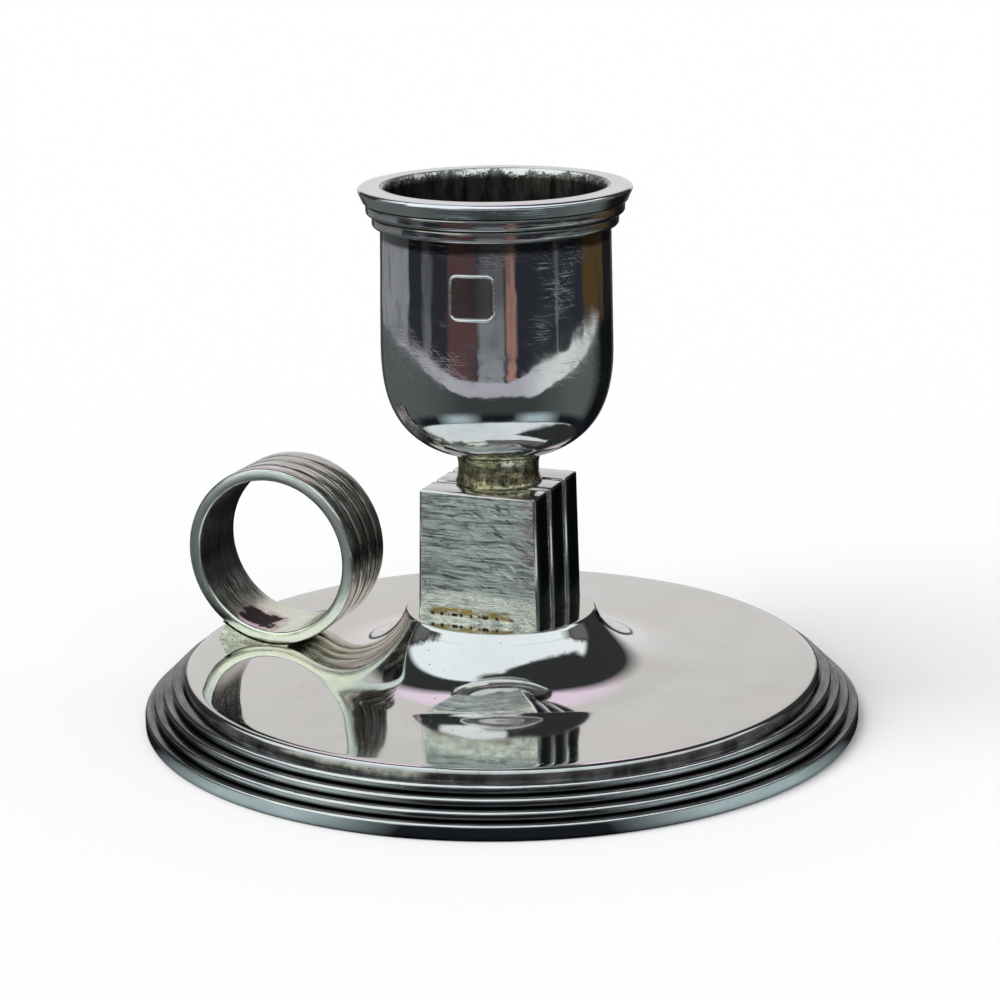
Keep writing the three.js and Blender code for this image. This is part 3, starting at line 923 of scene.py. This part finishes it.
bpy.ops.mesh.select_all(action="DESELECT")
bpy.ops.object.mode_set(mode="OBJECT")
for point in saddle.data.vertices:  # the solder spreads at its foot
    point.select = point.co.z < (saddleFoot(point.co.x / mm - ringX) + 0.006) * mm
bpy.ops.object.mode_set(mode="EDIT")
bpy.ops.transform.resize(value=(1, handle["saddleSpread"], 1), center_override=(0, 0, 0))
bpy.ops.object.mode_set(mode="OBJECT")
bpy.ops.object.shade_smooth_by_angle(angle=math.radians(28))
finishPiece(saddle, saddleFinish, "handle_saddle")
print("handle done")

# studio
studio = {"floorColor": (0.9, 0.9, 0.9), "floorSize": 12, "worldColor": (0.62, 0.62, 0.62),
          "sun": 2.1, "sunPlace": (-0.3, -0.1, 0.5), "sunTurn": (28, -34, 0), "sunSoft": 45}


# a card that only the metal mirrors, spun round and turned to the camera
def stageCard(card, material):
    spinRound(card, 96)
    card.rotation_euler = (0, 0, math.radians(cameraTurn))
    card.data.materials.append(material)
    card.visible_camera = False
    card.visible_diffuse = False
    card.visible_shadow = False
    card.visible_transmission = False


deselectAll()
bpy.ops.mesh.primitive_plane_add(size=studio["floorSize"], location=(0, 0, 0))
floor = bpy.context.object
floor.name = "studioFloor"
floorMaterial = bpy.data.materials.new("studioFloorPaper")
floorMaterial.use_nodes = True
paper = floorMaterial.node_tree.nodes["Principled BSDF"]
paper.inputs["Base Color"].default_value = (*studio["floorColor"], 1)
paper.inputs["Roughness"].default_value = 0.9
paper.inputs["Specular IOR Level"].default_value = 0.0
floor.data.materials.append(floorMaterial)

cameraTurn = -68.4  # compass turn of the camera about the object, degrees


def glowMaterial(name):
    material = bpy.data.materials.new(name)
    material.use_nodes = True
    bench["tree"] = material.node_tree
    bench["tree"].nodes.clear()
    glow = node("ShaderNodeEmission")
    out = node("ShaderNodeOutputMaterial")
    join(glow.outputs["Emission"], out.inputs["Surface"])
    return material, glow.inputs["Color"]


# flat card round the foot: dark mat, pale band, then soft upright tones; turns run from the camera
table = {
    "contact": (0.01, 0.012, 0.016), "contactSide": (0.4, 0.5, 0.53), "mat": (0.045, 0.052, 0.052),
    "matSide": (0.095, 0.11, 0.108), "matBack": (0.006, 0.007, 0.008), "band": (0.42, 0.42, 0.47),
    "bandRight": (0.66, 0.72, 0.7), "far": (0.023, 0.026, 0.034), "farBack": (0.012, 0.012, 0.012),
    "backdrop": (0.09, 0.09, 0.095), "backTurn": 156, "reach": (36.75, 400, 4000),
    # where the band starts and ends: turn from and to, reach there in metres
    "startLeft": (-28, -105, 0.085, 0.22), "startRight": (30, 118, 0.085, 0.228),
    "endLeft": (-14, -88, 0.135, 0.229), "endRight": (8, 52, 0.135, 0.218),
    "endFarRight": (52, 108, 0.0, 0.022), "contactIn": (16, 34), "contactOut": (50, 72),
    "tones": [  # turn from and to, colour, how much of it is left far out
        (-152, -95, (0.26, 0.27, 0.285), 0.9),
        (-76, -66, (0.13, 0.135, 0.145), 0.7),
        (-48, -20, (0.1, 0.054, 0.056), 0.9),
        (-18, 7.5, (0.25, 0.265, 0.285), 0.2),
        (10, 17.5, (0.36, 0.21, 0.18), 0.75),
        (58.5, 60, (0.3, 0.3, 0.32), 0.6),
        (92, 128, (0.07, 0.045, 0.018), 1.2),
    ],
}
tone, glowColor = glowMaterial("tableCardTone")
place = objectPlace()
x, y, z = splitPlace(place)
turnFrom = math2("DEGREES", math2("ARCTAN2", y, x))
ripple = minus(grain(place, (30, 30, 30), 4, 0.66), 0.5)
toneTurn = plus(turnFrom, times(ripple, 16.0))
aside = math2("ABSOLUTE", turnFrom)
reachOut = hypotenuse(x, y)
bandReach = plus(reachOut, times(ripple, 24 * mm))
startLeft = spread(turnFrom, *table["startLeft"], "SMOOTHSTEP")
startRight = spread(turnFrom, *table["startRight"], "SMOOTHSTEP")
bandStart = math2("MAXIMUM", startLeft, startRight)
endLeft = spread(turnFrom, *table["endLeft"], "SMOOTHSTEP")
endRight = spread(turnFrom, *table["endRight"], "SMOOTHSTEP")
endRight = plus(endRight, spread(turnFrom, *table["endFarRight"]))
bandEnd = math2("MAXIMUM", endLeft, endRight)
behind = math2("MAXIMUM", spread(turnFrom, 104, 122), spread(turnFrom, -148, -156))
farShare = spread(reachOut, 235 * mm, 345 * mm)
color = blend(behind, table["far"], table["farBack"])
for low, high, toneColor, fade in table["tones"]:
    farTone = tuple(part * fade for part in toneColor)
    toneHere = blend(farShare, toneColor, farTone)
    color = blend(between(toneTurn, low, high, 1.2), color, toneHere)
blotch = patchy(place, (55, 55, 55), 0.52, 0.68, 4, 0.7, 5.1)
color = coat(color, table["far"], blotch, 0.6)
pastBand = minus(bandReach, bandEnd)
bandShare = times(spread(pastBand, 2 * mm, -2 * mm), spread(aside, 120, 112))
bandColor = blend(spread(turnFrom, 20, 50), table["band"], table["bandRight"])
color = blend(bandShare, color, bandColor)
matColor = blend(spread(aside, 34, 78), table["mat"], table["matSide"])
matColor = blend(behind, matColor, table["matBack"])
pastMat = minus(bandReach, bandStart)
color = blend(spread(pastMat, 2 * mm, -2 * mm), color, matColor)
backdrop = times(spread(aside, table["backTurn"] - 4, table["backTurn"] + 4),
                 spread(reachOut, 60 * mm, 90 * mm))
color = blend(backdrop, color, table["backdrop"])
# painted contact shadow: close round the foot the card is dark in front and behind, paler at the sides
contact = blend(spread(aside, *table["contactIn"]), table["contact"], table["contactSide"])
contact = blend(spread(aside, *table["contactOut"]), contact, table["contact"])
color = blend(spread(reachOut, 52 * mm, 44 * mm), color, contact)
join(color, glowColor)
tablePlaces = [Vector((r * mm, 0, 0.03 * mm)) for r in table["reach"]]
stageCard(traceOutline("tableCard", tablePlaces), tone)

# dome: rows of turn from and to, rise from and to, colour
dome = {
    "radius": 0.7, "dark": (0.03, 0.034, 0.034),
    "rows": [
        (-115, 115, -5, 24, (0.14, 0.14, 0.14)),
        (-78, -28, 6, 36, (0.95, 1.0, 0.9)),
    ],
    "card": (0.86, 0.95, 0.99), "cardFrom": -120, "cardTo": 112,
    "cardFloor": 27, "cardTop": 80, "cardTopRight": 40,
    "backTurn": 156, "backRise": 64, "backDrop": 0.2,
    "backLow": (0.74, 0.74, 0.74), "back": (0.62, 0.61, 0.605), "backHigh": (0.84, 0.7, 0.86),
}
tone, glowColor = glowMaterial("domeTone")
place = objectPlace()
x, y, z = splitPlace(place)
turnFrom = math2("DEGREES", math2("ARCTAN2", y, x))
reachOut = hypotenuse(x, y)
ripple = minus(grain(place, (150, 150, 150), 4, 0.62), 0.5)
rise = math2("DEGREES", math2("ARCTAN2", z, reachOut))
rise = plus(rise, times(ripple, 14.0))
color = dome["dark"]
for low, high, floorRise, topRise, toneColor in dome["rows"]:
    upRow = between(turnFrom, low, high, 3)
    color = coat(color, toneColor, upRow, between(rise, floorRise, topRise, 2))
cardTop = spread(turnFrom, 5, 100, dome["cardTop"], dome["cardTopRight"])
underTop = spread(minus(rise, cardTop), 3, -3)
overFloor = spread(rise, dome["cardFloor"] - 2, dome["cardFloor"] + 2)
card = times(between(turnFrom, dome["cardFrom"], dome["cardTo"], 3), overFloor)
color = blend(times(card, underTop), color, dome["card"])
behind = spread(math2("ABSOLUTE", turnFrom), dome["backTurn"] - 5, dome["backTurn"] + 5)
backTone = blend(spread(rise, 4, 22), dome["backLow"], dome["back"])
backTone = blend(spread(rise, 35, 44), backTone, dome["backHigh"])
fromBack = minus(180.0, math2("ABSOLUTE", turnFrom))
sink = plus(rise, times(fromBack, dome["backDrop"]))
underBack = spread(sink, dome["backRise"] + 4, dome["backRise"] - 4)
color = coat(color, backTone, behind, underBack)
join(color, glowColor)
domePlaces = [Vector((r * mm, 0, z * mm)) for r, z in arcPoints(0, 0, dome["radius"] / mm, -4, 90, 24)]
stageCard(traceOutline("domeCard", domePlaces), tone)

world = bpy.data.worlds.new("studioWorld")
bpy.context.scene.world = world
world.use_nodes = True
sky = world.node_tree.nodes["Background"]
sky.inputs["Color"].default_value = (*studio["worldColor"], 1)
sky.inputs["Strength"].default_value = 1.0

deselectAll()
sunTurn = tuple(math.radians(part) for part in studio["sunTurn"])
bpy.ops.object.light_add(type="SUN", location=studio["sunPlace"], rotation=sunTurn)
sun = bpy.context.object
sun.data.energy = studio["sun"]
sun.data.angle = math.radians(studio["sunSoft"])
sun.visible_glossy = False

# camera at the photograph's angle
view = {"place": (99.01, -249.96, 95.12), "yaw": -21.59, "pitch": 15.12, "roll": -0.76, "lens": 97.77}
yaw, pitch, roll = (math.radians(view[key]) for key in ("yaw", "pitch", "roll"))
ahead = Vector((math.sin(yaw) * math.cos(pitch), math.cos(yaw) * math.cos(pitch), -math.sin(pitch)))
level = Vector((math.cos(yaw), -math.sin(yaw), 0))
upright = level.cross(ahead)
camRight = level * math.cos(roll) + upright * math.sin(roll)
camUp = upright * math.cos(roll) - level * math.sin(roll)
turn = Matrix((camRight, camUp, -ahead)).transposed().to_4x4()
deselectAll()
bpy.ops.object.camera_add()
camera = bpy.context.object
camera.name = "photoCamera"
camera.matrix_world = Matrix.Translation(Vector(view["place"]) * mm) @ turn
camera.data.sensor_width = 36
camera.data.lens = view["lens"]
camera.data.clip_start = 0.01
bpy.context.scene.camera = camera
bpy.context.scene.view_settings.view_transform = "Standard"
print("studio done")
